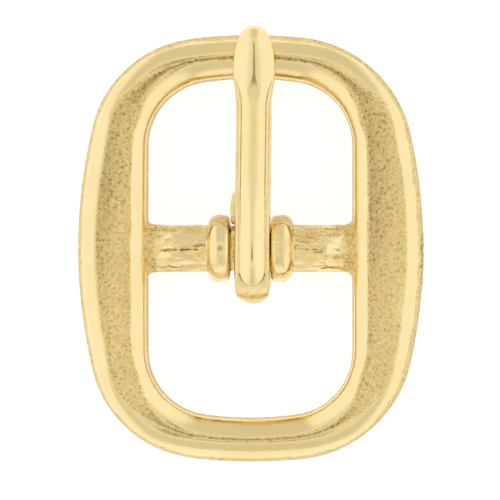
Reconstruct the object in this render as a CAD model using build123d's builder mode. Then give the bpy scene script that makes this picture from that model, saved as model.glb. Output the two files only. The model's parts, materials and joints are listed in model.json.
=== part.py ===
"""Cast brass centre-bar buckle for a 19 mm (3/4 in) strap: one cast frame and one tongue."""

import os
from math import cos, hypot, radians, sin, tan

from build123d import *

os.makedirs("parts", exist_ok=True)

# All sizes are in mm. X runs along the centre bar, Y from the bar towards the tongue's tip
# and Z out of the front of the buckle. The back of the frame lies on Z = 0 and the middle
# of the bar is straight above the origin.

# --- Strap ---------------------------------------------------------------------------
strap_width = 19.0
strap_side_play = 0.4
window_width = strap_width + strap_side_play

# --- Frame outline -------------------------------------------------------------------
rail_width = 6.65
frame_width = window_width + 2 * rail_width
frame_length = 40.5
end_bar_width = 4.15
window_length = frame_length - 2 * end_bar_width
outer_corner_radius = 11.76
side_crown = 0.93
end_crown = 0.18
window_corner_radius = 5.7
window_end_crown = 0.26

# --- Frame thickness -----------------------------------------------------------------
rail_thickness = 4.8
back_arch_height = 1.5
back_arch_span = frame_length - end_bar_width
front_height_at_rails = back_arch_height + rail_thickness
front_height_at_ends = 3.6
outer_shoulder_radius = 2.0
inner_shoulder_radius = 1.6
back_edge_radius = 0.6

# --- Centre bar ----------------------------------------------------------------------
bar_diameter = 4.38
bar_radius = bar_diameter / 2
bar_height = back_arch_height + rail_thickness / 2
bar_end_fillet = 0.8
bar_end_sink = 2.5

# --- Tongue --------------------------------------------------------------------------
tongue_width = 3.4
tongue_side_play = 0.5
tongue_shift = 0.12
shank_relief = 0.05
shank_width = tongue_width - 2 * shank_relief
shank_end_inset = 0.5
shank_end_y = window_length / 2 - shank_end_inset
crest_radius = 14.0
crest_turn = 7.2
base_crest_turn = 8.6
head_width = 4.12
head_flare_length = 1.7
head_y = shank_end_y + head_flare_length
head_thickness = 1.9
head_base_height = 1.1
shank_flare_length = 2.0
tip_overhang = 1.0
tip_y = frame_length / 2 + tip_overhang
nose_radius = 1.5
nose_length = 1.7
nose_undercut = 0.45
rib_shoulder = 0.6
rib_width = tongue_width - 2 * rib_shoulder
rib_rise = 0.4
rib_root = 0.5
rib_inset = 0.12
rib_end_y = -3.45
rib_draft = 12
rib_draft_depth = 1.85
parting_rise = 1.6
tongue_draft = 6
tongue_draft_margin = 0.5

# --- Eye of the tongue ---------------------------------------------------------------
eye_clearance = 0.15
eye_slack = 0.9
eye_radius = bar_radius + eye_clearance
loop_reach = 5.1
loop_wall = 1.2
loop_centre_y = -0.75
loop_drop = 0.1
loop_corner_radius = 1.15
underside_at_eye = bar_height + 1.75
tail_reach = 5.65
tail_thickness = 0.85
tail_narrowing = 0.6
tail_width = tongue_width - tail_narrowing
tail_gap = 0.22
tail_root_drop = 1.3
tail_twist = 0.4

# --- Seat of the tongue's head in the end bar ----------------------------------------
seat_height = 3.85
seat_clearance = 0.05
seat_side_gap = 0.3
seat_flare = 1.2

# --- Collars that keep the tongue in the middle of the bar -----------------------------
collar_gap = tongue_width + tongue_side_play
collar_width = 2.1
collar_height = 0.95
collar_edge_radius = 0.7


def long_arc_radius(crown, corner_across, corner_radius):
    """Radius of a side that bulges by crown past a corner arc and runs smoothly into it."""
    inset = corner_radius + crown
    return (inset**2 + corner_across**2 - corner_radius**2) / (2 * crown)


def touch_point(arc_centre, corner_centre, corner_radius):
    """Point where a long arc and the corner arc meet."""
    dx = corner_centre[0] - arc_centre[0]
    dy = corner_centre[1] - arc_centre[1]
    length = hypot(dx, dy)
    return (
        corner_centre[0] + corner_radius * dx / length,
        corner_centre[1] + corner_radius * dy / length,
    )


# --- Outer outline: two side arcs, two end arcs and four corner arcs -------------------
half_width = frame_width / 2
half_length = frame_length / 2
outer_corner = (
    half_width - side_crown - outer_corner_radius,
    half_length - end_crown - outer_corner_radius,
)
side_arc = long_arc_radius(side_crown, outer_corner[1], outer_corner_radius)
end_arc = long_arc_radius(end_crown, outer_corner[0], outer_corner_radius)
side_touch = touch_point((half_width - side_arc, 0), outer_corner, outer_corner_radius)
end_touch = touch_point((0, half_length - end_arc), outer_corner, outer_corner_radius)

# --- Window outline: straight sides, two end arcs and four corner arcs -----------------
half_window = window_width / 2
half_opening = window_length / 2
window_corner = (
    half_window - window_corner_radius,
    half_opening - window_end_crown - window_corner_radius,
)
window_arc = long_arc_radius(window_end_crown, window_corner[0], window_corner_radius)
window_touch = touch_point((0, half_opening - window_arc), window_corner, window_corner_radius)

# --- Sizes that follow from the ones above ---------------------------------------------
collar_radius = bar_radius + collar_height
head_bottom = seat_height + seat_clearance
head_top = head_bottom + head_thickness
head_base_top = head_bottom + head_base_height
head_base_middle = head_bottom + head_base_height / 2
nose_y = tip_y - nose_length
loop_half_height = eye_radius + loop_wall
loop_half_length = loop_reach + loop_centre_y
loop_centre_z = bar_height - loop_drop
loop_top = loop_centre_z + loop_half_height
rib_crest = loop_top + rib_rise
tongue_draft_depth = parting_rise + loop_drop + loop_half_height + tongue_draft_margin
underside_slope = (underside_at_eye - head_bottom) / (shank_end_y - eye_radius)
tongue_side = Plane.YZ.offset(tongue_shift)
along_bar = (1, 0, 0)
shank_up = (0, sin(radians(crest_turn)), cos(radians(crest_turn)))
parting_plane = Plane((tongue_shift, 0, bar_height + parting_rise), along_bar, shank_up)
rib_plane = Plane((tongue_shift, 0, rib_crest - rib_draft_depth), along_bar, shank_up)
rib_root_width = rib_width + 2 * rib_draft_depth * tan(radians(rib_draft))


def underside(y):
    """Height of the shank's underside at a distance from the bar."""
    return head_bottom + underside_slope * (shank_end_y - y)


tail_top = underside(tail_reach) - tail_gap
tail_root_y = 0.9 * eye_radius
tail_root_top = underside(tail_root_y) - tail_gap
tail_root_bottom = bar_height - tail_root_drop


def add_head_side(start, half_width, tip):
    """Draw the right side of the head, from the shank's edge to the middle of the nose."""
    middle = ((start.X + half_width) / 2, (start.Y + head_y) / 2)
    flare = TangentArc(start, middle, tangent=(0, 1))
    widening = TangentArc(flare @ 1, (half_width, head_y), tangent=flare % 1)
    nose_centre = (0, tip - nose_radius)
    side_radius = long_arc_radius(half_width - nose_radius, nose_centre[1] - head_y, nose_radius)
    touch = touch_point((half_width - side_radius, head_y), nose_centre, nose_radius)
    TangentArc(widening @ 1, touch, tangent=(0, 1))
    RadiusArc(touch, (0, tip), -nose_radius)


# === Frame ===========================================================================
with BuildPart() as frame:
    with BuildSketch(Plane.XY):
        with BuildLine():
            RadiusArc((half_width, 0), side_touch, -side_arc)
            RadiusArc(side_touch, end_touch, -outer_corner_radius)
            RadiusArc(end_touch, (0, half_length), -end_arc)
            mirror(about=Plane.YZ)
            mirror(about=Plane.XZ)
        make_face()
        with BuildLine():
            side = Line((half_window, 0), (half_window, window_corner[1]))
            RadiusArc(side @ 1, window_touch, -window_corner_radius)
            RadiusArc(window_touch, (0, half_opening), -window_arc)
            mirror(about=Plane.YZ)
            mirror(about=Plane.XZ)
        make_face(mode=Mode.SUBTRACT)
    extrude(amount=2 * front_height_at_rails, both=True)

    # Arched side view: the back and the front are both arcs.
    with BuildSketch(Plane.YZ):
        with BuildLine():
            front = ThreePointArc(
                (-half_length, front_height_at_ends),
                (0, front_height_at_rails),
                (half_length, front_height_at_ends),
            )
            back_end = -back_arch_height * (frame_length / back_arch_span) ** 2 + back_arch_height
            back = ThreePointArc(
                (-half_length, back_end),
                (0, back_arch_height),
                (half_length, back_end),
            )
            Line(front @ 0, back @ 0)
            Line(front @ 1, back @ 1)
        make_face()
    extrude(amount=frame_width, both=True, mode=Mode.INTERSECT)

    # Rounded shoulders in front, wider outside than inside, and small rounds at the back.
    front_face = frame.faces().sort_by(Axis.Z)[-1]
    fillet(front_face.outer_wire().edges(), outer_shoulder_radius)
    front_face = frame.faces().sort_by(Axis.Z)[-1]
    fillet(front_face.inner_wires()[0].edges(), inner_shoulder_radius)
    back_face = frame.faces().filter_by(lambda face: face.normal_at().Z < -0.9)[0]
    fillet(back_face.edges(), back_edge_radius)

    # Ground flats under both end bars.
    split(bisect_by=Plane.XY, keep=Keep.TOP)

    # Centre bar, sunk into both rails, with a smooth round where it meets them.
    with BuildSketch(Plane.YZ):
        with Locations((0, bar_height)):
            Circle(bar_radius)
    extrude(amount=half_window + bar_end_sink, both=True)

    bar_ends = frame.edges().filter_by(
        lambda edge: half_window - 0.01 < abs(edge.center().X) < half_window + inner_shoulder_radius
        and abs(edge.center().Y) < bar_radius
        and edge.length < 2 * bar_diameter
        and edge.geom_type != GeomType.LINE
    )
    fillet(bar_ends, bar_end_fillet)

    # Two collars on the bar.
    for side in (-1, 1):
        with Locations((side * (collar_gap + collar_width) / 2, 0, bar_height)):
            Cylinder(collar_radius, collar_width, rotation=(0, 90, 0))
    collar_rims = frame.edges().filter_by(
        lambda edge: edge.geom_type == GeomType.CIRCLE
        and abs(edge.radius - collar_radius) < 0.01
        and abs(edge.center().X) < half_window
    )
    fillet(collar_rims, collar_edge_radius)

    # Shallow seat across the end bar for the tongue's head.
    with BuildSketch(Plane.XZ.offset(-window_corner[1])):
        with Locations((tongue_shift, seat_height)):
            Trapezoid(
                head_width + 2 * (seat_side_gap + seat_flare),
                seat_flare,
                135,
                align=(Align.CENTER, Align.MAX),
                rotation=180,
            )
    extrude(amount=-frame_length, mode=Mode.SUBTRACT)

frame.part.label = "frame"
export_step(frame.part, "parts/frame.step")

# === Tongue ==========================================================================
with BuildPart() as rib:
    # Side view of the raised rib: round over the loop, straight along the shank, level on
    # the head.
    with BuildSketch(tongue_side):
        with Locations((loop_centre_y, loop_centre_z)):
            Ellipse(loop_half_length + rib_rise, loop_half_height + rib_rise)
            Ellipse(loop_half_length - rib_root, loop_half_height - rib_root, mode=Mode.SUBTRACT)
            Rectangle(
                2 * loop_reach, 2 * loop_reach, align=(Align.MAX, Align.MIN), mode=Mode.INTERSECT
            )
        with BuildLine():
            crest = JernArc((loop_centre_y, rib_crest), (1, 0), crest_radius, -crest_turn)
            top = Polyline(crest @ 1, (shank_end_y, head_top), (nose_y, head_top))
            nose = TangentArc(top @ 1, (tip_y - rib_inset, head_base_top), tangent=(1, 0))
            Polyline(
                nose @ 1,
                (tip_y - rib_inset, head_base_top - rib_root),
                (shank_end_y, head_base_top - rib_root),
                (loop_centre_y, loop_top - rib_root),
                crest @ 0,
            )
        make_face()
    extrude(amount=head_width, both=True)

    # Seen from above it has a round end over the loop and widens on the head. Its sides
    # are drafted.
    with BuildSketch(rib_plane):
        with BuildLine():
            end = CenterArc((0, rib_end_y + rib_root_width / 2), rib_root_width / 2, -90, 90)
            side = Line(end @ 1, (rib_root_width / 2, shank_end_y - shank_flare_length))
            add_head_side(side @ 1, head_width / 2 - rib_inset, tip_y - rib_inset)
            mirror(about=Plane.YZ)
        make_face()
    extrude(amount=2 * rib_draft_depth, taper=rib_draft, mode=Mode.INTERSECT)

with BuildPart() as tongue:
    # Side view of the loop, shank and head.
    with BuildSketch(tongue_side):
        with Locations((loop_centre_y, loop_centre_z)):
            Ellipse(loop_half_length, loop_half_height)
        with BuildLine():
            crest = JernArc((loop_centre_y, loop_top), (1, 0), crest_radius, -base_crest_turn)
            top = Polyline(crest @ 1, (shank_end_y, head_base_top), (nose_y, head_base_top))
            nose = TangentArc(top @ 1, (tip_y, head_base_middle), tangent=(1, 0))
            under_nose = TangentArc(nose @ 1, (tip_y - nose_undercut, head_bottom), tangent=(0, -1))
            Polyline(
                under_nose @ 1,
                (shank_end_y, head_bottom),
                (eye_radius, underside_at_eye),
                (loop_centre_y, bar_height),
                crest @ 0,
            )
        make_face()
    extrude(amount=head_width, both=True)

    # Seen from above the loop has a square end with round corners.
    with BuildSketch(parting_plane):
        with BuildLine():
            end = Line((0, -loop_reach), (tongue_width / 2 - loop_corner_radius, -loop_reach))
            corner = RadiusArc(
                end @ 1, (tongue_width / 2, loop_corner_radius - loop_reach), -loop_corner_radius
            )
            side = Polyline(
                corner @ 1,
                (shank_width / 2, 2 * eye_radius),
                (shank_width / 2, shank_end_y - shank_flare_length),
            )
            add_head_side(side @ 1, head_width / 2, tip_y)
            mirror(about=Plane.YZ)
        make_face()
    extrude(amount=tongue_draft_depth, both=True, taper=tongue_draft, mode=Mode.INTERSECT)
    add(rib.part)

    # Tail of the hook: bent on past the bar, close under the shank.
    with BuildSketch(tongue_side.offset(-tail_twist)):
        with BuildLine():
            top = Line((tail_root_y, tail_root_top), (tail_reach - tail_thickness / 2, tail_top))
            tip = TangentArc(top @ 1, (tail_reach, tail_top - tail_thickness / 2), tangent=top % 1)
            Spline(
                tip @ 1,
                (tail_reach - tail_thickness, tail_top - tail_thickness),
                (tail_root_y, tail_root_bottom),
                tangents=(tip % 1, (-1, -1)),
            )
            Line((tail_root_y, tail_root_bottom), top @ 0)
        make_face()
    extrude(amount=tail_width / 2, both=True)

    # Eye for the bar, longer than the bar is thick, and the gap where the hook closes.
    with BuildSketch(tongue_side):
        with Locations((-eye_slack / 2, bar_height)):
            SlotCenterToCenter(eye_slack, 2 * eye_radius)
        with BuildLine():
            Polyline(
                (eye_radius / 2, underside(eye_radius / 2)),
                (tail_reach + 1, underside(tail_reach + 1)),
                (tail_reach + 1, underside(tail_reach + 1) - tail_gap),
                (eye_radius / 2, underside(eye_radius / 2) - tail_gap),
                close=True,
            )
        make_face()
    extrude(amount=head_width, both=True, mode=Mode.SUBTRACT)

tongue.part.label = "tongue"
export_step(tongue.part, "parts/tongue.step")
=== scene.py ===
"""Looks of a cast brass centre-bar buckle, closed, lying on a pale floor and seen from above."""

import json
import math

import bpy
import numpy as np
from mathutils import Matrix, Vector, noise


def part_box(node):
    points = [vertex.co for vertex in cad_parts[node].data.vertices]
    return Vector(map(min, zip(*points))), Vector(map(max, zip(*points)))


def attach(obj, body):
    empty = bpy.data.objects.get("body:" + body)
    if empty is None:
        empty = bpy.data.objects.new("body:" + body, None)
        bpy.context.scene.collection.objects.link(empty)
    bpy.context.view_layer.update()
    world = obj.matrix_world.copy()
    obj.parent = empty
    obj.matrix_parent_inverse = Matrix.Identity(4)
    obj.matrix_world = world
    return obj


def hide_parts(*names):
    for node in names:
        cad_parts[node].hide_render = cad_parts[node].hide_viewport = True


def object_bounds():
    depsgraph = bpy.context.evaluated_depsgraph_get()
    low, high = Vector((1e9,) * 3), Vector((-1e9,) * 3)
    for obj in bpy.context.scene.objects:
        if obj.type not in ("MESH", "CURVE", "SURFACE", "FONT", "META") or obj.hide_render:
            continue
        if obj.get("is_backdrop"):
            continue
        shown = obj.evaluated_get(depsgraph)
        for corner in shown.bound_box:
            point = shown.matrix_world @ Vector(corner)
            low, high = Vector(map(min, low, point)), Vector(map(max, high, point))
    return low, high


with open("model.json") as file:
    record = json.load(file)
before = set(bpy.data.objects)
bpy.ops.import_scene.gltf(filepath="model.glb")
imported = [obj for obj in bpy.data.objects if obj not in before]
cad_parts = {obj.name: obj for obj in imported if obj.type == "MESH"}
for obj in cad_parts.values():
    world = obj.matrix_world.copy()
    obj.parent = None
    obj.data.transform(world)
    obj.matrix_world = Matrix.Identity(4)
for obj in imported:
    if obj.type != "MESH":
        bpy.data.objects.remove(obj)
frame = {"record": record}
cad_low, cad_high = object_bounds()

# --- Sizes, in mm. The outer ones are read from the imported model. ----------------------
MM = 0.001
frame_low, frame_high = [[c / MM for c in corner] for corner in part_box("frame")]
tip_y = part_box("tongue")[1][1] / MM
bar_z = frame["record"]["behaviour"]["joints"][0]["pos_m"][2] / MM

# Outlines of the rim and its window, seen from above.
half_width = (frame_high[0] - frame_low[0]) / 2
half_length = (frame_high[1] - frame_low[1]) / 2
end_bar_width = 4.15
side_crown = 0.93
end_crown = 0.18
outer_corner = 11.76
half_window = 9.7
half_opening = half_length - end_bar_width
window_crown = 0.26
window_corner = 6.15
window_shift = -0.06
left_fuller = 0.17
outline_counts = (56, 76, 42)  # vertices along a quarter's side, corner and end

# The rim's arched front and back, and its rounded edges.
front_middle = 6.3
front_end = 3.6
back_middle = 1.5
back_span = half_length - end_bar_width / 2
outer_round = 2.0
inner_round = 1.95
back_round = 0.6
corner_slimmer = 0.15
steepest_tilt = 86  # degrees from the flat front to the shoulder's foot on the wall
unevenness = 0.02

# How raw the casting is: 0 where polished, 1 where left raw. Above 1 the colour is darker still:
# painted shade on walls and in creases, and darker marks elsewhere.
# The walls and the steep inner shoulders are raw, and darkened past 1 with painted shade.
wall_raw_and_shade = 1.6
inner_shoulder_raw_and_shade = 1.5
back_raw = 0.9
back_edge_raw = 0.6
band_least_raw = 0.12
bar_end_raw = 0.75
tongue_top_raw = 0.1
tongue_side_raw = 0.5
tongue_side_polished_head = 0.25
tongue_low_raw = 0.45
beside_rib_raw = 0.45
# The line at the rib's foot is painted shade in its crease, darkest past the rib's end.
rib_line_shade = 0.7
rib_line_end_shade = 2.2

# The raw band along the rim's front: how far it goes past the flat, its half-width at the
# end bars, how raw it is, and how that falls off to the right, per mm.
band_past_outer = 0.25
band_past_outer_right = 0.25
band_past_inner = 0.45
band_half_top_end = 0.12
band_half_low_end = 0.08
band_level = 0.95
band_level_upper = 0.30
# At the end bars the band's level passes 1, so its line there is drawn darker than raw brass.
band_level_top_end = 0.7
band_level_low_end = 1.1
band_slope = 0.18

# The seat of the tongue's head in the end bar.
seat_start = half_opening - 1.5
seat_z = 3.85
seat_gap = -0.17
seat_slope = 1.35
seat_soft = 0.02

# The patch on the right wall where the casting's gate was broken off: raised, and lumpy.
gate_raised = 0.02
gate_lump_height = 0.06
gate_least_raw = 1.3

# The centre bar and its collars.
bar_radius = 2.23
worn_radius = 2.16  # inside the tongue's eye
bar_flare = 0.8
bar_weld = 0.02
bar_below_front = 0.03
bar_dip = 0.28
bar_columns = 128
skin_depth = 0.06
skin_raw_change = 0.45
groove_half = 0.09
groove_depth = 0.11
# The crack's dark colour, past 1, is painted shade.
groove_shade = 2.6
collar_near = 1.95
collar_far = 4.05
collar_rise = 0.95
collar_margin = 0.04

# The tongue's head and shank.
head_x = 0.35
base_x = 0.22
head_clearance = 0.05
head_thickness = 1.9
head_bottom = seat_z + head_clearance
head_top = head_bottom + head_thickness
shank_end = half_opening - 0.5
shank_half = 1.70
head_half = 2.0
head_y = shank_end + 1.7
nose_radius = 1.5
nose_length = 1.7
nose_drop = 1.15
nose_undercut = 0.6
nose_thinnest = 0.04
shank_under = bar_z + 1.75  # the underside's height where it meets the eye

# The tongue's loop round the bar, with the eye inside it and the hook's tail.
eye_radius = 2.34
eye_slack = 0.9
eye_lip = (1.83, bar_z + 1.46)
eye_lip_top_y = 1.95
loop_y = -0.75
loop_z = bar_z - 0.1
loop_a, loop_b = 4.5, eye_radius + 1.2
loop_corner = 0.95
corner_y = loop_y - loop_a + loop_corner
tail_slimmer = 0.3
tail_twist = -0.78

# The tongue's sides: the rounding of its upper edge, its draft and its foot.
edge_round_most = 0.3
edge_round_crisper = 0.12
side_draft = 0.16
side_draft_head = 0.11
side_draft_bar = 0.08
widest_share = 0.42  # of the depth, from the underside
foot_round = 0.18
foot_inset = 0.06
tongue_unevenness = 0.012

# The rib along the tongue's crest.
rib_rise = 0.4
rib_half = 1.12
rib_inset_head = 0.2
rib_end = -3.6
rib_head_rise = 0.4
crest_z = loop_z + loop_b + rib_rise
crest_radius = 14
crest_turn = math.radians(7.2)
crest_softness = 0.5
crown_drop = 0.31
crown_drop_head = 0.27
crown_drop_bar = 0.06
ridge_power = 1.75  # 1 is a roof, 2 is round
ridge_power_head = 0.45
ridge_power_bar = 0.35
ridge_roof_head = 0.27
facet_y = 14.9
facet_half = 0.5
facet_half_least = 0.05
fillet_depth = 0.04
fillet_depth_end = 0.08
underside_slope = (shank_under - head_bottom) / (shank_end - eye_radius)


def smooth(low, high, value):
    """0 at low and before, 1 at high and past it, with a smooth rise between them."""
    t = np.clip((value - low) / (high - low), 0, 1)
    return t * t * (3 - 2 * t)


def smooth_at(low, high, value):
    """The same for one plain number."""
    return float(smooth(low, high, np.float64(value)))


def lumps(points, size, seed, stretch=(1, 1, 1), octaves=2):
    """Smooth noise from -1 to 1 at each point (mm), with features of about a size (mm)."""
    shift = Vector((seed * 17.3, seed * 5.1, seed * 9.7))
    scale = [s / size for s in stretch]
    values = [
        noise.fractal(
            Vector((x * scale[0], y * scale[1], z * scale[2])) + shift, 1.0, 2.0, octaves
        )
        for x, y, z in points
    ]
    return np.array(values)


def arch(y, middle, end, span):
    """Height at y of an arc that is at middle over the bar and at end at the span's ends."""
    rise = middle - end
    radius = (span**2 + rise**2) / (2 * rise)
    return middle - radius + np.sqrt(radius**2 - y**2)


def front_z(y):
    return arch(y, front_middle, front_end, half_length)


def back_z(y):
    return np.maximum(arch(y, back_middle, 0, back_span), 0)


def long_arc(crown, across, corner):
    """Radius of a side that bulges by crown past a corner arc."""
    return ((corner + crown) ** 2 + across**2 - corner**2) / (2 * crown)


def outline(half_x, half_y, corner, x_crown, y_crown):
    """A rounded oblong, once round from +X: points and outward normals."""
    side_count, corner_count, end_count = outline_counts
    cx, cy = half_x - x_crown - corner, half_y - y_crown - corner
    end_radius = long_arc(y_crown, cx, corner)
    end_angle = math.atan2(cy - (half_y - end_radius), cx)
    side_angle = 0.0

    def arc(centre, radius, start, end, count):
        angle = np.linspace(start, end, count, endpoint=False)
        normal = np.stack([np.cos(angle), np.sin(angle)], 1)
        return np.array(centre) + radius * normal, normal

    if x_crown:
        side_radius = long_arc(x_crown, cy, corner)
        side_angle = math.atan2(cy, cx - (half_x - side_radius))
        side = arc((half_x - side_radius, 0), side_radius, 0, side_angle, side_count)
    else:
        ys = np.linspace(0, cy, side_count, endpoint=False)
        side = np.stack([ys * 0 + half_x, ys], 1), np.tile([1.0, 0.0], (len(ys), 1))
    bend = arc((cx, cy), corner, side_angle, end_angle, corner_count)
    end = arc((0, half_y - end_radius), end_radius, end_angle, math.pi / 2, end_count)
    top = np.array([[0.0, half_y]]), np.array([[0.0, 1.0]])
    quarter = [np.concatenate(parts) for parts in zip(side, bend, end, top)]
    flip = np.array([-1, 1])
    half = [np.concatenate([q, q[-2:0:-1] * flip]) for q in quarter]
    return [np.concatenate([h, -h]) for h in half]


def grid_faces(rows, columns, close_rows, start=0):
    """Quads of a grid of vertices whose columns close, and its rows too where asked."""
    faces = []
    for i in range(rows if close_rows else rows - 1):
        for j in range(columns):
            a, b = i * columns + j, i * columns + (j + 1) % columns
            c = (i + 1) % rows * columns + (j + 1) % columns
            d = (i + 1) % rows * columns + j
            faces.append((start + a, start + b, start + c, start + d))
    return faces


def tube_faces(rows, columns, start=0):
    """Quads of a tube of rings of vertices, with a face to close each end."""
    end = start + rows * columns
    faces = grid_faces(rows, columns, False, start)
    faces.append(tuple(range(start, start + columns))[::-1])
    faces.append(tuple(range(end - columns, end)))
    return faces


def make_mesh(name, points, faces, cast):
    """A smooth-shaded object from points in mm, with how raw the casting is at each; above 1 it
    is painted darker, mostly as shade.
    """
    mesh = bpy.data.meshes.new(name)
    mesh.from_pydata((points * MM).tolist(), [], faces)
    mesh.attributes.new("cast", "FLOAT", "POINT").data.foreach_set(
        "value", np.asarray(cast, dtype=np.float32)
    )
    mesh.shade_smooth()
    obj = bpy.data.objects.new(name, mesh)
    bpy.context.scene.collection.objects.link(obj)
    return obj


# === Frame: the ring =====================================================================
outer, outer_normal = outline(half_width, half_length, outer_corner, side_crown, end_crown)
inner, inner_normal = outline(half_window, half_opening, window_corner, 0, window_crown)
inner[:, 0] += window_shift
rightward, upward = outer_normal.T
sideward, endward = np.abs(rightward), np.abs(upward)
on_upper = upward > 0
fuller = left_fuller * smooth(0.15, 0.6, -rightward) * smooth(0.15, 0.6, endward)
outer += fuller[:, None] * outer_normal

# The shoulders are slimmer round the corners.
slim = 1 - corner_slimmer * smooth(0.12, 0.5, endward) * smooth(0.12, 0.5, sideward)
on_top = smooth(0.4, 0.9, upward)
on_right = smooth(0.5, 0.9, rightward)
outer_widths = outer_round * slim
inner_widths = inner_round * slim
band_out = outer - outer_normal * outer_widths[:, None]
band_in = inner + inner_normal * inner_widths[:, None]
band_width = np.linalg.norm(band_out - band_in, axis=1)
front_level = front_z((band_out[:, 1] + band_in[:, 1]) / 2)

# The raw band covers the flat and the start of both shoulders, and tapers to a line along
# the end bars.
middle = (band_out + band_in) / 2
taper = np.where(on_upper, smooth(0.28, 0.96, endward), smooth(0.45, 1.0, endward))
end_half = np.where(on_upper, band_half_top_end, band_half_low_end)
past_outer = band_width / 2 + band_past_outer + band_past_outer_right * on_right
past_inner = band_width / 2 + band_past_inner
raw_outward = past_outer * (1 - taper) + end_half * taper
raw_inward = past_inner * (1 - taper) + end_half * taper
edge_spread = np.where(on_upper, 3.0, 0.8) * taper * (1 - taper)
end_level = np.where(on_upper, band_level_top_end, band_level_low_end) * taper**3
raw_level = band_level + band_level_upper * smooth(-6, 8, middle[:, 1]) + end_level


def band_raw(plan):
    """How raw the front is at a place of each row, from its distance to the band's middle."""
    outward = np.sum((plan - middle) * outer_normal, axis=1)
    past = np.where(outward > 0, outward - raw_outward, -outward - raw_inward)
    fade = np.where(outward > 0, 0.15, 0.32 - 0.17 * taper)
    level = raw_level - band_slope * (plan[:, 0] - middle[:, 0])
    return level * (1 - smooth(-fade - 0.2 * edge_spread, 0.2 + edge_spread, past))


section = []  # (point of the plan, height, rawness) for each place round the section


def add_place(plan, height, raw):
    section.append((plan, height, raw))


def shoulder(places, tilts, count):
    """Depths from the wall and drops from the front, for a shoulder 1 wide, and tilts."""
    place = np.linspace(0, 1, 400)
    tilt = np.interp(place, places, tilts)
    slope = np.tan(np.radians(np.minimum(tilt, steepest_tilt)))
    drop = np.concatenate([[0], np.cumsum((slope[1:] + slope[:-1]) / 2 * np.diff(place))])
    # Sample evenly in tilt and place together, so that the round edge is fine too.
    measure = np.cumsum(np.concatenate([[0], np.hypot(np.diff(place), np.diff(tilt) / 90)]))
    at = np.interp(np.linspace(0, measure[-1], count), measure, place)
    return 1 - at, np.interp(at, place, drop), np.interp(at, place, tilt)


def round_edge(radius, tilt):
    """How far in from the wall and down from the face a round edge is, where it tilts so."""
    angle = math.radians(tilt)
    return radius * (1 - math.sin(angle)), radius * (1 - math.cos(angle))


inner_depths, inner_drops, inner_tilts = shoulder(
    (0, 0.06, 0.2, 0.41, 0.56, 0.75, 0.86, 0.95, 1),
    (0, 9, 19, 28, 35, 40, 50, 72, steepest_tilt),
    20,
)

# Outer wall, then a shoulder in two arcs with the trace of a parting edge between them.
# The walls are raw cast, darkened further with painted shade.
for t in np.linspace(0, 1, 10, endpoint=False):
    low = back_z(outer[:, 1]) + back_round
    high = front_level - outer_widths
    add_place(outer, low + (high - low) * t, wall_raw_and_shade)
# It is polished up to a tilt of 42 degrees, or less at the top and on the right. Steeper, it
# turns raw, then darker with painted shade at its foot.
steep_from = 42 - 8 * on_top - 10 * on_right
for tilt in np.concatenate([np.linspace(90, 66, 6), np.linspace(54, 4, 15)]):
    depth, drop = round_edge(outer_widths, tilt)
    plan = outer - outer_normal * depth[:, None]
    steep = wall_raw_and_shade * smooth(steep_from, steepest_tilt, tilt)
    add_place(plan, front_level - drop, np.maximum(steep, band_raw(plan)))

# Middle band, nearly flat, left raw from the mould.
for t in np.linspace(0, 1, 21):
    plan = band_out + (band_in - band_out) * t
    add_place(plan, front_level, np.maximum(band_raw(plan), band_least_raw))

# Inner shoulder, inner wall and the back with its rounded edges.
# The steep inner shoulder and the inner wall are raw, darkened further with painted shade.
for depth, drop, tilt in list(zip(inner_depths, inner_drops, inner_tilts))[1:]:
    plan = inner + inner_normal * (inner_widths * depth)[:, None]
    raw = np.maximum(inner_shoulder_raw_and_shade * smooth(58, 84, tilt), band_raw(plan))
    add_place(plan, front_level - inner_widths * drop, raw)
for t in np.linspace(0, 1, 7)[1:]:
    low = back_z(inner[:, 1]) + back_round
    high = front_level - inner_widths * inner_drops[-1]
    add_place(inner, high + (low - high) * t, wall_raw_and_shade)
# The back's edges turn from the wall at 0 to the back at 90: in and down change places.
for turn in np.linspace(0, 90, 6)[1:]:
    lift, depth = round_edge(back_round, turn)
    plan = inner + inner_normal * depth
    add_place(plan, back_z(plan[:, 1]) + lift, back_edge_raw)
back_in = inner + inner_normal * back_round
back_out = outer - outer_normal * back_round
for t in np.linspace(0, 1, 9)[1:]:
    plan = back_in + (back_out - back_in) * t
    add_place(plan, back_z(plan[:, 1]), back_raw)
for turn in np.linspace(90, 0, 6)[1:-1]:
    lift, depth = round_edge(back_round, turn)
    plan = outer - outer_normal * depth
    add_place(plan, back_z(plan[:, 1]) + lift, back_edge_raw)

columns = len(section)
rows = len(outer)
ring = np.zeros((rows, columns, 3))
ring_cast = np.zeros((rows, columns))
for column, (plan, height, raw) in enumerate(section):
    ring[:, column, :2] = plan
    ring[:, column, 2] = height
    ring_cast[:, column] = raw
ring = ring.reshape(-1, 3)
ring_cast = ring_cast.reshape(-1)

# Shallow seat for the tongue's head, close under its rounded foot.
head_ys = (14.0, 15.3, 16.5, 17.9, 18.8, 19.4, 19.83, 20.6)
head_halves = (1.66, 1.81, 1.98, 2.0, 1.86, 1.70, 1.54, 1.30)
in_end_bar = ring[:, 1] > seat_start
across = np.abs(ring[:, 0] - head_x)
seat_near = np.interp(ring[:, 1], head_ys, head_halves) + seat_gap
seat_side = np.clip(across - seat_near, 0, None)
seat_floor = seat_z + seat_slope * (np.sqrt(seat_side**2 + seat_soft**2) - seat_soft)
lowered = np.minimum(ring[:, 2], seat_floor)
ring[in_end_bar, 2] = lowered[in_end_bar]

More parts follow.
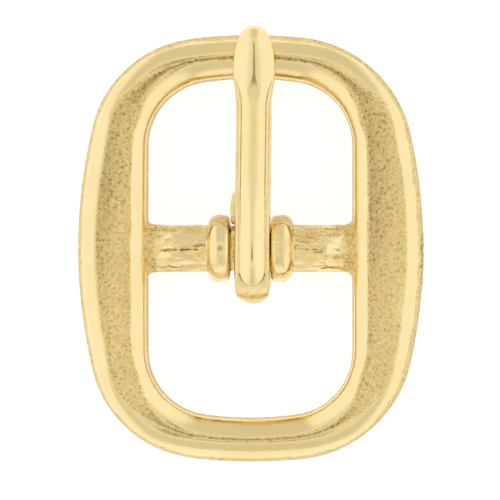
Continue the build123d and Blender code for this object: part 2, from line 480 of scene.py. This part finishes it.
# The casting is slightly uneven, and rough where its gate was broken off the right wall.
wave = lumps(ring, 4.5, 1)
ring[:, 2] += unevenness * wave * (ring[:, 2] > back_middle)
gate_along = smooth(-4.2, -3.4, ring[:, 1]) * (1 - smooth(1.2, 1.8, ring[:, 1]))
gate = smooth(15.8, 16.2, ring[:, 0]) * gate_along
gate_lumps = lumps(ring, 0.38, 2, octaves=3)
ring[:, 0] += gate * (gate_raised + gate_lump_height * gate_lumps)
gate_dark = 0.8 + 0.4 * smooth(-1.0, -1.8, ring[:, 1])
gate_raw = gate_least_raw + gate_dark * smooth(0.05, 0.5, gate_lumps)
ring_cast = np.maximum(ring_cast, gate * gate_raw)
ring[:, 2] = np.maximum(ring[:, 2], frame_low[2])

# === Frame: centre bar and collars =====================================================
collar_from = collar_near - collar_margin
collar_to = collar_far + collar_margin
bar_x = np.concatenate([
    np.linspace(0, collar_from, 22, endpoint=False),
    np.linspace(collar_from, collar_to, 46, endpoint=False),
    np.linspace(collar_to, half_window - bar_flare, 50, endpoint=False),
])
collar_middle = (collar_near + collar_far) / 2
collar_half = (collar_far - collar_near) / 2
from_middle = np.clip(np.abs(bar_x - collar_middle) / collar_half, 0, 1)
squareness = np.where(bar_x < collar_middle, 5.0, 2.1)  # rounder on the outer half
collar_arc = (1 - from_middle**squareness) ** (1 / squareness)
bar_r = bar_radius + collar_rise * (1 - 0.1 * from_middle) * collar_arc
bar_r = np.where(bar_x < collar_from, worn_radius, bar_r)  # worn smooth by the tongue

around = np.linspace(0, 2 * math.pi, bar_columns, endpoint=False)
half_bar = []
half_cast = []
for x, r in zip(bar_x, bar_r):
    ring_y, ring_z = r * np.cos(around), r * np.sin(around)
    ring_z = np.where(ring_z > 0, ring_z * (1 - bar_dip * smooth(7.0, 9.0, x)), ring_z)
    half_bar.append(np.stack([ring_y * 0 + x, ring_y, bar_z + ring_z], 1))
    dull = smooth(0.80, 0.50, np.sin(around)) * (0.65 + 0.35 * np.sign(np.cos(around)))
    on_collar = collar_from < x < collar_to
    half_cast.append(0.2 + 0.6 * dull if on_collar else 0.3 + 0.2 * dull)
for turn in np.linspace(0, 1, 12) * math.pi / 2:
    # The bar's end flares into the rail's wall. Its top dips under the polished shoulder.
    r = bar_radius + bar_flare * (1 - math.cos(turn))
    ring_y, ring_z = r * np.cos(around), r * np.sin(around)
    ring_z = np.where(ring_z > 0, bar_radius * (1 - bar_dip) * np.sin(around), ring_z)
    below_front = (front_middle - bar_z - ring_z) / inner_round
    wall = half_window + inner_round * np.interp(below_front, inner_drops, inner_depths)
    ring_x = wall - bar_flare * (1 - math.sin(turn)) + bar_weld
    top = front_z(ring_y) - bar_below_front
    bottom = back_z(ring_y) + bar_below_front
    half_bar.append(np.stack([ring_x, ring_y, np.clip(bar_z + ring_z, bottom, top)], 1))
    half_cast.append(np.full(bar_columns, bar_end_raw))
# Closed off inside the rail.
closing = half_bar[-1] + 0.5 * ([half_window + 0.8, 0, bar_z - 0.5] - half_bar[-1])
half_bar.append(closing)
half_cast.append(np.full(bar_columns, bar_end_raw))
half_bar = np.array(half_bar)
half_cast = np.array(half_cast)
mirrored = half_bar[:0:-1] * [-1, 1, 1]
bar = np.concatenate([mirrored, half_bar])
bar_cast = np.concatenate([half_cast[:0:-1], half_cast]).reshape(-1)
bar_rows = len(bar)
bar = bar.reshape(-1, 3)
# Its ends go with the window, which lies a little to the left.
bar[:, 0] += window_shift * smooth(8.0, 9.5, np.abs(bar[:, 0]))

# Raw cast skin on the bar: lumps drawn out along it, and a shrinkage line on top, a crack in
# dashes whose dark colour is painted shade.
drawn_out = (0.4, 1, 1)
along_bar = bar * [1, 0, 0]
off_middle = np.abs(bar[:, 0])
radial = bar - [0, 0, bar_z]
radial[:, 0] = 0
radial /= np.linalg.norm(radial, axis=1, keepdims=True)
uneven = smooth(0.2, 0.3, bar_cast)
skin = skin_depth * lumps(bar, 0.6, 3, drawn_out, 3) * uneven
skin *= smooth(collar_near, collar_near + 0.3, off_middle)
patchy = uneven * (1 - smooth(8.6, 9.6, off_middle))
bar_cast += skin_raw_change * lumps(bar, 0.8, 6, drawn_out, 2) * patchy
line_y = -0.12 + 0.12 * lumps(along_bar, 1.4, 4)
groove = np.exp(-(((bar[:, 1] - line_y) / groove_half) ** 2)) * (bar[:, 2] > bar_z)
open_along = smooth(4.6, 5.2, off_middle) * (1 - smooth(8.2, 8.9, off_middle))
dashes = smooth(-0.35, 0.3, lumps(along_bar, 0.7, 5))
skin -= groove_depth * groove * open_along * dashes
# The crack's dashes get a dark colour: painted shade.
bar_cast = np.maximum(bar_cast, groove_shade * groove * open_along * dashes)
bar += radial * skin[:, None]

points = np.concatenate([ring, bar])
faces = grid_faces(rows, columns, True) + tube_faces(bar_rows, bar_columns, len(ring))
frame_look = make_mesh("frame_look", points, faces, np.concatenate([ring_cast, bar_cast]))


# === Tongue ==========================================================================
def underside(y):
    return head_bottom + underside_slope * (shank_end - y)


def crest(y):
    """Height of the rib's crest: round over the bar, straight down the shank, level head."""
    bend_end = loop_y + crest_radius * math.sin(crest_turn)
    if y < bend_end:
        return crest_z - crest_radius + math.sqrt(crest_radius**2 - (y - loop_y) ** 2)
    start = crest_z - crest_radius * (1 - math.cos(crest_turn))
    t = (y - bend_end) / (shank_end - bend_end)
    if t <= 0.6:
        return start + (head_top - start) * t
    # The rest goes over into the level head in a soft bend.
    slope = (head_top - start) / (shank_end - bend_end)
    past = y - shank_end
    return head_top + (math.sqrt(past**2 + crest_softness**2) - past) * -slope / 2


def head_outline(y):
    """Half-width of the head seen from above."""
    nose_centre = tip_y - nose_radius
    arc = long_arc(head_half - nose_radius, nose_centre - head_y, nose_radius)
    touch_y = nose_centre + nose_radius * (nose_centre - head_y) / (arc - nose_radius)
    if y < touch_y:
        return head_half - arc + math.sqrt(arc**2 - (y - head_y) ** 2)
    return math.sqrt(max(nose_radius**2 - (y - nose_centre) ** 2, 0))


def plan_half(y):
    """Half-width of the shank and head seen from above."""
    if y > head_y:
        return head_outline(y)
    flare = smooth_at(shank_end - 2.1, shank_end + 1.0, y)
    return shank_half + (head_half - shank_half) * flare


# Side view as stations from the tip, along the head and shank, round the bar and into the
# tail. Each has an outer point, an inner point, a half-width and the rib's rise.
stations = []


def add_station(outer_point, inner_point, half, rise):
    stations.append((*outer_point, *inner_point, half, rise))


nose_y = tip_y - nose_length
for turn in np.radians(np.linspace(84, 0, 46)[:-1]):
    y = nose_y + nose_length * math.sin(turn)
    top = head_top - nose_drop * (1 - math.cos(turn))
    under = np.clip((y - tip_y + nose_undercut) / nose_undercut, 0, 1)
    bottom = head_bottom + nose_undercut * (1 - math.sqrt(1 - under**2))
    inner_point = (y, min(bottom, top - nose_thinnest))
    add_station((y, top), inner_point, plan_half(y), rib_rise + rib_head_rise)
for y in np.linspace(nose_y, eye_radius, 330)[:-1]:
    bottom = head_bottom if y > shank_end else underside(y)
    rise = rib_rise + rib_head_rise * smooth_at(shank_end - 3, shank_end + 1, y)
    add_station((y, crest(y)), (y, bottom), plan_half(y), rise)
for t in np.linspace(0, 1, 12)[:-1]:
    y = eye_radius + (eye_lip_top_y - eye_radius) * t
    inner_y = eye_radius + (eye_lip[0] - eye_radius) * t
    inner_z = shank_under + (eye_lip[1] - shank_under) * t
    add_station((y, crest(y)), (inner_y, inner_z), shank_half, rib_rise)
for t in np.linspace(0, 1, 50)[:-1]:
    y = eye_lip_top_y + (loop_y - eye_lip_top_y) * t
    inner_y = eye_lip[0] + (-eye_slack - eye_lip[0]) * t
    inner_z = bar_z + math.sqrt(eye_radius**2 - max(inner_y, 0) ** 2)
    add_station((y, crest(y)), (inner_y, inner_z), shank_half, rib_rise)
loop_start = len(stations)
for angle in np.radians(np.linspace(90, 318, 220)):
    rise = rib_rise * (1 - smooth_at(math.radians(235), math.radians(290), angle))
    pull = 1 - smooth_at(math.radians(255), math.radians(310), angle)
    outer_point = (
        loop_y + (loop_a + rise) * math.cos(angle),
        loop_z + (loop_b + rise) * math.sin(angle),
    )
    inner_point = (
        -eye_slack * pull + eye_radius * math.cos(angle),
        bar_z + eye_radius * math.sin(angle),
    )
    add_station(outer_point, inner_point, shank_half - tail_slimmer * (1 - pull), rise)


def curve_through(controls, steps):
    """Points on a smooth curve through controls, from the second to the last but one."""
    curve = []
    for p0, p1, p2, p3 in zip(controls, controls[1:], controls[2:], controls[3:]):
        second = 2 * p0 - 5 * p1 + 4 * p2 - p3
        third = 3 * p1 - p0 - 3 * p2 + p3
        for t in np.linspace(0, 1, steps)[1:]:
            curve.append(0.5 * (2 * p1 + (p2 - p0) * t + second * t**2 + third * t**3))
    return curve


# The tail of the hook goes on past the bar, close under the shank. It is a curve through
# stations, and starts from two of the loop's, so that it runs smoothly out of the loop.
tail = [
    stations[-9],
    stations[-1],
    (2.95, 1.85, 2.12, 2.90, 1.4, 0),
    (3.35, 2.55, 2.32, 3.60, 1.4, 0),
    (3.75, 3.20, 2.32, 4.35, 1.4, 0),
    (4.25, 3.72, 2.32, 5.00, 1.4, 0),
    (4.62, 4.00, 2.95, 5.27, 1.4, 0),
    (4.95, 4.15, 4.00, 5.14, 1.35, 0),
    (5.30, 4.28, 4.90, 4.98, 1.2, 0),
    (5.52, 4.42, 5.35, 4.88, 0.95, 0),
    (5.62, 4.60, 5.58, 4.70, 0.6, 0),
]
tail = np.array(tail + [2 * np.array(tail[-1]) - np.array(tail[-2])], dtype=float)
tail_start = len(stations)
stations = np.concatenate([np.array(stations), np.array(curve_through(tail, 12))])
outer_line = stations[:, :2]

# Place along the crest, counted from the rib's round end over the loop.
steps = np.linalg.norm(np.diff(outer_line, axis=0), axis=1)
place = np.concatenate([[0], np.cumsum(steps)])
end_index = next(i for i, (y, z) in enumerate(outer_line) if y < rib_end and z > loop_z)
place -= place[end_index]

# A profile across the tongue at each station: the crest from side to side, the right side
# down to the foot, the flat underside and the left side back up.
crest_columns = 63
crisp_end = loop_start + 66  # up to this station the crest is crisper near the bar
tongue_points, tongue_cast = [], []
for i, (oy, oz, iy, iz, half, lift) in enumerate(stations):
    depth = math.hypot(oy - iy, oz - iz)
    base_y = oy - lift * (oy - iy) / depth
    past_corner = np.clip((corner_y - min(base_y, iy)) / loop_corner, 0, 0.98)
    half -= loop_corner * (1 - math.sqrt(1 - past_corner**2))
    up = np.array([oy - iy, oz - iz]) / depth

    # Crown of the rib: sharper on the head, with a flat facet where the shank begins.
    on_head = smooth_at(shank_end - 2.4, shank_end + 0.9, oy)
    over_bar = smooth_at(6.0, 3.0, oy) if i < crisp_end else 0
    near_bar = smooth_at(7.0, 3.0, oy)
    crisp = max(on_head, over_bar)
    edge_round = min(edge_round_most - edge_round_crisper * crisp, 0.45 * half, 0.3 * depth)
    less_draft = side_draft_head * on_head + side_draft_bar * over_bar
    draft = min(side_draft - less_draft, 0.3 * half)
    top_half = half - draft - edge_round
    x = np.linspace(-1, 1, crest_columns) * top_half
    off_axis = np.abs(x)
    rib_w = min(rib_half + (half - rib_inset_head - rib_half) * on_head, half * 0.93)
    crown = (crown_drop + crown_drop_head * on_head) * min(1, half / 1.6)
    crown += crown_drop_bar * near_bar if i < crisp_end else crown_drop_bar
    ridge = ridge_power + ridge_power_head * on_head - ridge_power_bar * near_bar
    facet = facet_half_least * (1 - 0.5 * on_head) + facet_half * math.exp(-((oy - facet_y) ** 2))
    facet = min(facet, 0.6 * rib_w)
    inside = np.clip((off_axis - facet) / max(rib_w - facet, 1e-3), 0, 1.3)
    bend = inside**ridge + ridge_roof_head * on_head * (inside - inside**ridge)

    # Beside the rib, and past its round end, the surface is lower by the rib's rise.
    past = place[i] + rib_w
    past_end = past > 0
    within = rib_w - (np.sqrt(x**2 + past**2) if past_end else off_axis)  # the rib's outline
    on_rib = smooth(-0.08 if past_end else -0.18, 0.06, within)
    part = off_axis / max(half, 0.01)
    slope_off = 0.16 * part**2 + 0.1 * part**6
    drop = on_rib * crown * bend + (1 - on_rib) * (lift + slope_off)
    fillet = fillet_depth_end if past_end else fillet_depth
    drop = drop + fillet * np.exp(-(((within + 0.1) / 0.07) ** 2))
    top = depth - drop * min(1, depth / 1.5)
    profile = list(zip(x, top))

    edge = top[-1]
    side = []
    for tilt in np.radians([18, 36, 54, 72, 90]):
        side_z = edge - edge_round * (1 - math.cos(tilt))
        side.append((top_half + edge_round * math.sin(tilt), side_z))
    widest = widest_share * edge
    foot = min(foot_round, 0.3 * widest)
    for t in (0.33, 0.66, 1):
        side_z = edge - edge_round + (widest - edge + edge_round) * t
        side.append((half - draft + draft * t, side_z))
    for t in (0.33, 0.66, 1):
        side.append((half - foot_inset * t * min(1, half), widest + (foot - widest) * t))
    foot_x = half - foot_inset * min(1, half)
    for tilt in np.radians([30, 60, 90]):
        side.append((foot_x - foot * (1 - math.cos(tilt)), foot * (1 - math.sin(tilt))))
    profile += side
    flat = side[-1][0]
    profile += [(a, 0.0) for a in np.linspace(flat, -flat, 9)[1:-1]]
    profile += [(-a, b) for a, b in side[::-1]]

    # The tongue lies slightly askew, and its tail is twisted to the left.
    lean_x = base_x + (head_x - base_x) * smooth_at(-2, 18, oy)
    twist = tail_twist * smooth_at(tail_start - 40, tail_start + 60, i)
    for a, b in profile:
        tongue_points.append((lean_x + a + twist, iy + up[0] * b, iz + up[1] * b))

    # Rawer where it faces down and beside the rib. The line at the rib's foot is painted shade in
    # its crease.
    low_side = smooth_at(0.97, 0.6, up[1])
    beside_rib = beside_rib_raw * (1 - on_rib) * (1 - on_head)
    foot_line_shade = (rib_line_end_shade if past_end else rib_line_shade) * (1 - on_head)
    rib_foot_shade = foot_line_shade * np.exp(-(((within + 0.07) / 0.08) ** 2)) * (past < 1.5 * rib_w)
    top_raw = np.maximum(tongue_top_raw + tongue_low_raw * low_side, beside_rib + rib_foot_shade)
    side_raw = tongue_side_raw - tongue_side_polished_head * on_head
    tongue_cast += top_raw.tolist() + [side_raw] * (len(profile) - crest_columns)
tongue_points = np.array(tongue_points)
tongue_points[:, 2] += tongue_unevenness * lumps(tongue_points, 2.2, 7)
tongue_faces = tube_faces(len(stations), len(profile))
tongue_look = make_mesh("tongue_look", tongue_points, tongue_faces, tongue_cast)


# === Materials =======================================================================
grain_size = 0.33
fine_grain_size = 0.11
patch_size = 2.6
haze_size = 6.0
haze_tint = (0.93, 0.88, 0.78)
speck_tint = (0.62, 0.52, 0.33)
# Painted highlights: bright glints in the raw grain.
painted_glint_colour = (1.0, 0.85, 0.47)
# Darker colour where the cast value passes 1: painted shade, and the dark gate patch.
shade_and_dirt_tint = (0.22, 0.19, 0.12)


class Shading:
    """Adds nodes to one material's or world's node tree."""

    def __init__(self, owner):
        owner.use_nodes = True
        self.nodes, self.links = owner.node_tree.nodes, owner.node_tree.links

    def node(self, kind, **settings):
        made = self.nodes.new(kind)
        for key, value in settings.items():
            setattr(made, key, value)
        return made

    def fill(self, slot, value):
        """Link a socket to a slot, or set the slot to a number or a colour."""
        if isinstance(value, tuple):
            slot.default_value = (*value, 1)
        elif isinstance(value, (int, float)):
            slot.default_value = value
        else:
            self.links.new(value, slot)

    def maths(self, kind, *values):
        made = self.node("ShaderNodeMath", operation=kind)
        for slot, value in zip(made.inputs, values):
            self.fill(slot, value)
        return made.outputs["Value"]

    def remap(self, value, low, high, to_low=0.0, to_high=1.0, kind="SMOOTHSTEP"):
        """A value taken smoothly from one range to another, and kept inside it."""
        made = self.node("ShaderNodeMapRange", interpolation_type=kind)
        self.fill(made.inputs["Value"], value)
        self.fill(made.inputs["From Min"], low)
        self.fill(made.inputs["From Max"], high)
        self.fill(made.inputs["To Min"], to_low)
        self.fill(made.inputs["To Max"], to_high)
        return made.outputs["Result"]

    def line(self, value, low, high, to_low, to_high):
        """The same, but in a straight line."""
        return self.remap(value, low, high, to_low, to_high, "LINEAR")

    def mix(self, kind, factor, a, b):
        """Colours a and b mixed by a factor."""
        made = self.node("ShaderNodeMix", data_type="RGBA", blend_type=kind)
        self.fill(made.inputs["Factor"], factor)
        self.fill(made.inputs[6], a)
        self.fill(made.inputs[7], b)
        return made.outputs[2]


def brass(name, raw_colour, polished_colour, grain_depth, speckled):
    """Cast brass: grainy and darker where raw, smooth and bright where polished."""
    material = bpy.data.materials.new(name)
    shading = Shading(material)
    maths, remap, line = shading.maths, shading.remap, shading.line
    mix, fill = shading.mix, shading.fill
    shader = shading.nodes["Principled BSDF"]
    where = shading.node("ShaderNodeTexCoord").outputs["Object"]
    cast = shading.node("ShaderNodeAttribute", attribute_name="cast").outputs["Fac"]

    def noise_at(size, detail, rough=0.5):
        made = shading.node("ShaderNodeTexNoise")
        fill(made.inputs["Scale"], 1 / (size * MM))
        fill(made.inputs["Detail"], detail)
        fill(made.inputs["Roughness"], rough)
        fill(made.inputs["Vector"], where)
        return made.outputs["Fac"]

    grain = noise_at(grain_size, 2.0, 0.6)
    fine = noise_at(fine_grain_size, 2.0)
    patches = noise_at(patch_size, 3.0)
    haze = noise_at(haze_size, 2.0)

    # How raw the surface is: as the casting says, with soft and uneven edges.
    rawness = maths("ADD", cast, line(patches, 0.3, 0.7, -0.18, 0.18))
    rawness = remap(rawness, 0.15, 0.75)

    # Colour, with a faint haze and dark specks in the grain, painted highlights as bright glints
    # in it, and a darker tint where the cast value passes 1: painted shade, and the dark gate
    # patch.
    tone = mix("MIX", rawness, polished_colour, raw_colour)
    tone = mix("MULTIPLY", line(haze, 0.3, 0.7, 0.0, 0.35), tone, haze_tint)
    coarse = maths("MULTIPLY", rawness, speckled)
    coarse = maths("MULTIPLY", line(cast, 0.95, 1.2, 0.45, 1.0), coarse)
    specks = maths("MULTIPLY", remap(grain, 0.31, 0.46, 1.0, 0.0), coarse)
    tone = mix("MULTIPLY", specks, tone, speck_tint)
    painted_glints = maths("MULTIPLY", remap(grain, 0.565, 0.66), coarse)
    tone = mix("MIX", painted_glints, tone, painted_glint_colour)
    tone = mix("MULTIPLY", line(cast, 1.0, 2.6, 0.0, 1.0), tone, shade_and_dirt_tint)

    rough = line(rawness, 0.0, 1.0, 0.15, 0.24)
    rough = maths("ADD", rough, line(patches, 0.3, 0.7, -0.03, 0.05))
    rough = maths("ADD", rough, line(cast, 1.0, 1.5, 0.0, 0.16))

    height = maths("MULTIPLY", maths("SUBTRACT", grain, 0.5), maths("ADD", rawness, 0.02))
    fine = maths("MULTIPLY", maths("SUBTRACT", fine, 0.5), maths("MULTIPLY", rawness, 0.25))
    height = maths("ADD", maths("ADD", height, fine), maths("MULTIPLY", patches, 0.05))
    bump = shading.node("ShaderNodeBump")
    fill(bump.inputs["Strength"], 1.0)
    fill(bump.inputs["Distance"], grain_depth * MM)
    fill(bump.inputs["Height"], height)

    fill(shader.inputs["Metallic"], 1.0)
    fill(shader.inputs["Base Color"], tone)
    fill(shader.inputs["Roughness"], rough)
    fill(shader.inputs["Normal"], bump.outputs["Normal"])
    return material


frame_brass = brass("frame_brass_look", (0.93, 0.712, 0.315), (0.95, 0.78, 0.42), 0.45, 1.0)
tongue_brass = brass("tongue_brass_look", (0.92, 0.72, 0.34), (0.95, 0.79, 0.43), 0.08, 0.25)
frame_look.data.materials.append(frame_brass)
tongue_look.data.materials.append(tongue_brass)

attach(frame_look, "frame")
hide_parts("frame")
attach(tongue_look, "tongue")
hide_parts("tongue")

# === Floor: evenly pale where it is seen or mirrored, matt grey to all other light ========
floor_half = 1.5
floor_z = cad_low.z - 0.01 * MM
floor_grey = (0.30, 0.30, 0.30)
floor_seen = 0.84
floor_mesh = bpy.data.meshes.new("floor")
floor_mesh.from_pydata(
    [(x * floor_half, y * floor_half, floor_z) for x, y in ((-1, -1), (1, -1), (1, 1), (-1, 1))],
    [],
    [(0, 1, 2, 3)],
)
floor = bpy.data.objects.new("floor", floor_mesh)
bpy.context.scene.collection.objects.link(floor)
floor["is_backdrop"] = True

floor_paint = bpy.data.materials.new("floor_paint")
paint = Shading(floor_paint)
paint.nodes.clear()
matt = paint.node("ShaderNodeBsdfDiffuse")
paint.fill(matt.inputs["Color"], floor_grey)
ray = paint.node("ShaderNodeLightPath").outputs
seen = paint.maths("MAXIMUM", ray["Is Camera Ray"], ray["Is Glossy Ray"])
seen = paint.maths("MAXIMUM", seen, ray["Is Transmission Ray"])
glow = paint.node("ShaderNodeEmission")
paint.fill(glow.inputs["Strength"], paint.maths("MULTIPLY", seen, floor_seen))
both = paint.node("ShaderNodeAddShader")
paint.fill(both.inputs[0], matt.outputs[0])
paint.fill(both.inputs[1], glow.outputs[0])
paint.fill(paint.node("ShaderNodeOutputMaterial").inputs["Surface"], both.outputs[0])
floor_mesh.materials.append(floor_paint)

# === Light: a white tent, dimmer overhead, with a small dark opening for the camera ======
tent_overhead_tint = (1.0, 0.97, 0.86)
tent_white = (1.0, 1.0, 1.0)
tent_bright = 1.04
tent_opening = (math.cos(math.radians(14)), math.cos(math.radians(5)))
tent_opening_darker = 0.66
world = bpy.data.worlds.new("tent")
bpy.context.scene.world = world
tent = Shading(world)
tent.nodes.clear()
split = tent.node("ShaderNodeSeparateXYZ")
tent.fill(split.inputs["Vector"], tent.node("ShaderNodeTexCoord").outputs["Generated"])
to_x, to_y, to_z = split.outputs
sideways = tent.remap(tent.maths("ABSOLUTE", to_x), 0.30, 0.55)
nearside = tent.remap(to_y, -0.82, -0.94)
horizon = tent.remap(to_z, 0.06, 0.0)
overhead = tent.remap(tent.maths("ABSOLUTE", to_y), 0.28, 0.50, 0.90, 0.75)
bright = tent.maths("MAXIMUM", tent.maths("MAXIMUM", sideways, nearside), horizon)
opening = tent.remap(to_z, *tent_opening)
brighter = tent.maths("SUBTRACT", tent_bright, overhead)
level = tent.maths("MULTIPLY_ADD", brighter, bright, overhead)
dimming = tent.maths("MULTIPLY_ADD", opening, -tent_opening_darker, 1.0)
level = tent.maths("MULTIPLY", level, dimming)
sky = tent.node("ShaderNodeBackground")
tent.fill(sky.inputs["Color"], tent.mix("MIX", bright, tent_overhead_tint, tent_white))
tent.fill(sky.inputs["Strength"], level)
tent.fill(tent.node("ShaderNodeOutputWorld").inputs["Surface"], sky.outputs[0])

# === Camera: straight above, a touch from the right, far off with a long lens ===========
view_width = 47.4
camera_away = 1000.0
camera_lean = math.radians(1.6)
aim = Vector((-0.06, -0.16, bar_z)) * MM
to_camera = Vector((math.sin(camera_lean), 0, math.cos(camera_lean)))
camera_data = bpy.data.cameras.new("camera")
camera_data.lens = camera_data.sensor_width * camera_away / view_width
camera = bpy.data.objects.new("camera", camera_data)
camera.location = aim + to_camera * camera_away * MM
camera.rotation_euler = (0, camera_lean, 0)
bpy.context.scene.collection.objects.link(camera)
bpy.context.scene.camera = camera
bpy.context.scene.view_settings.view_transform = "Standard"

low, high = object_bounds()
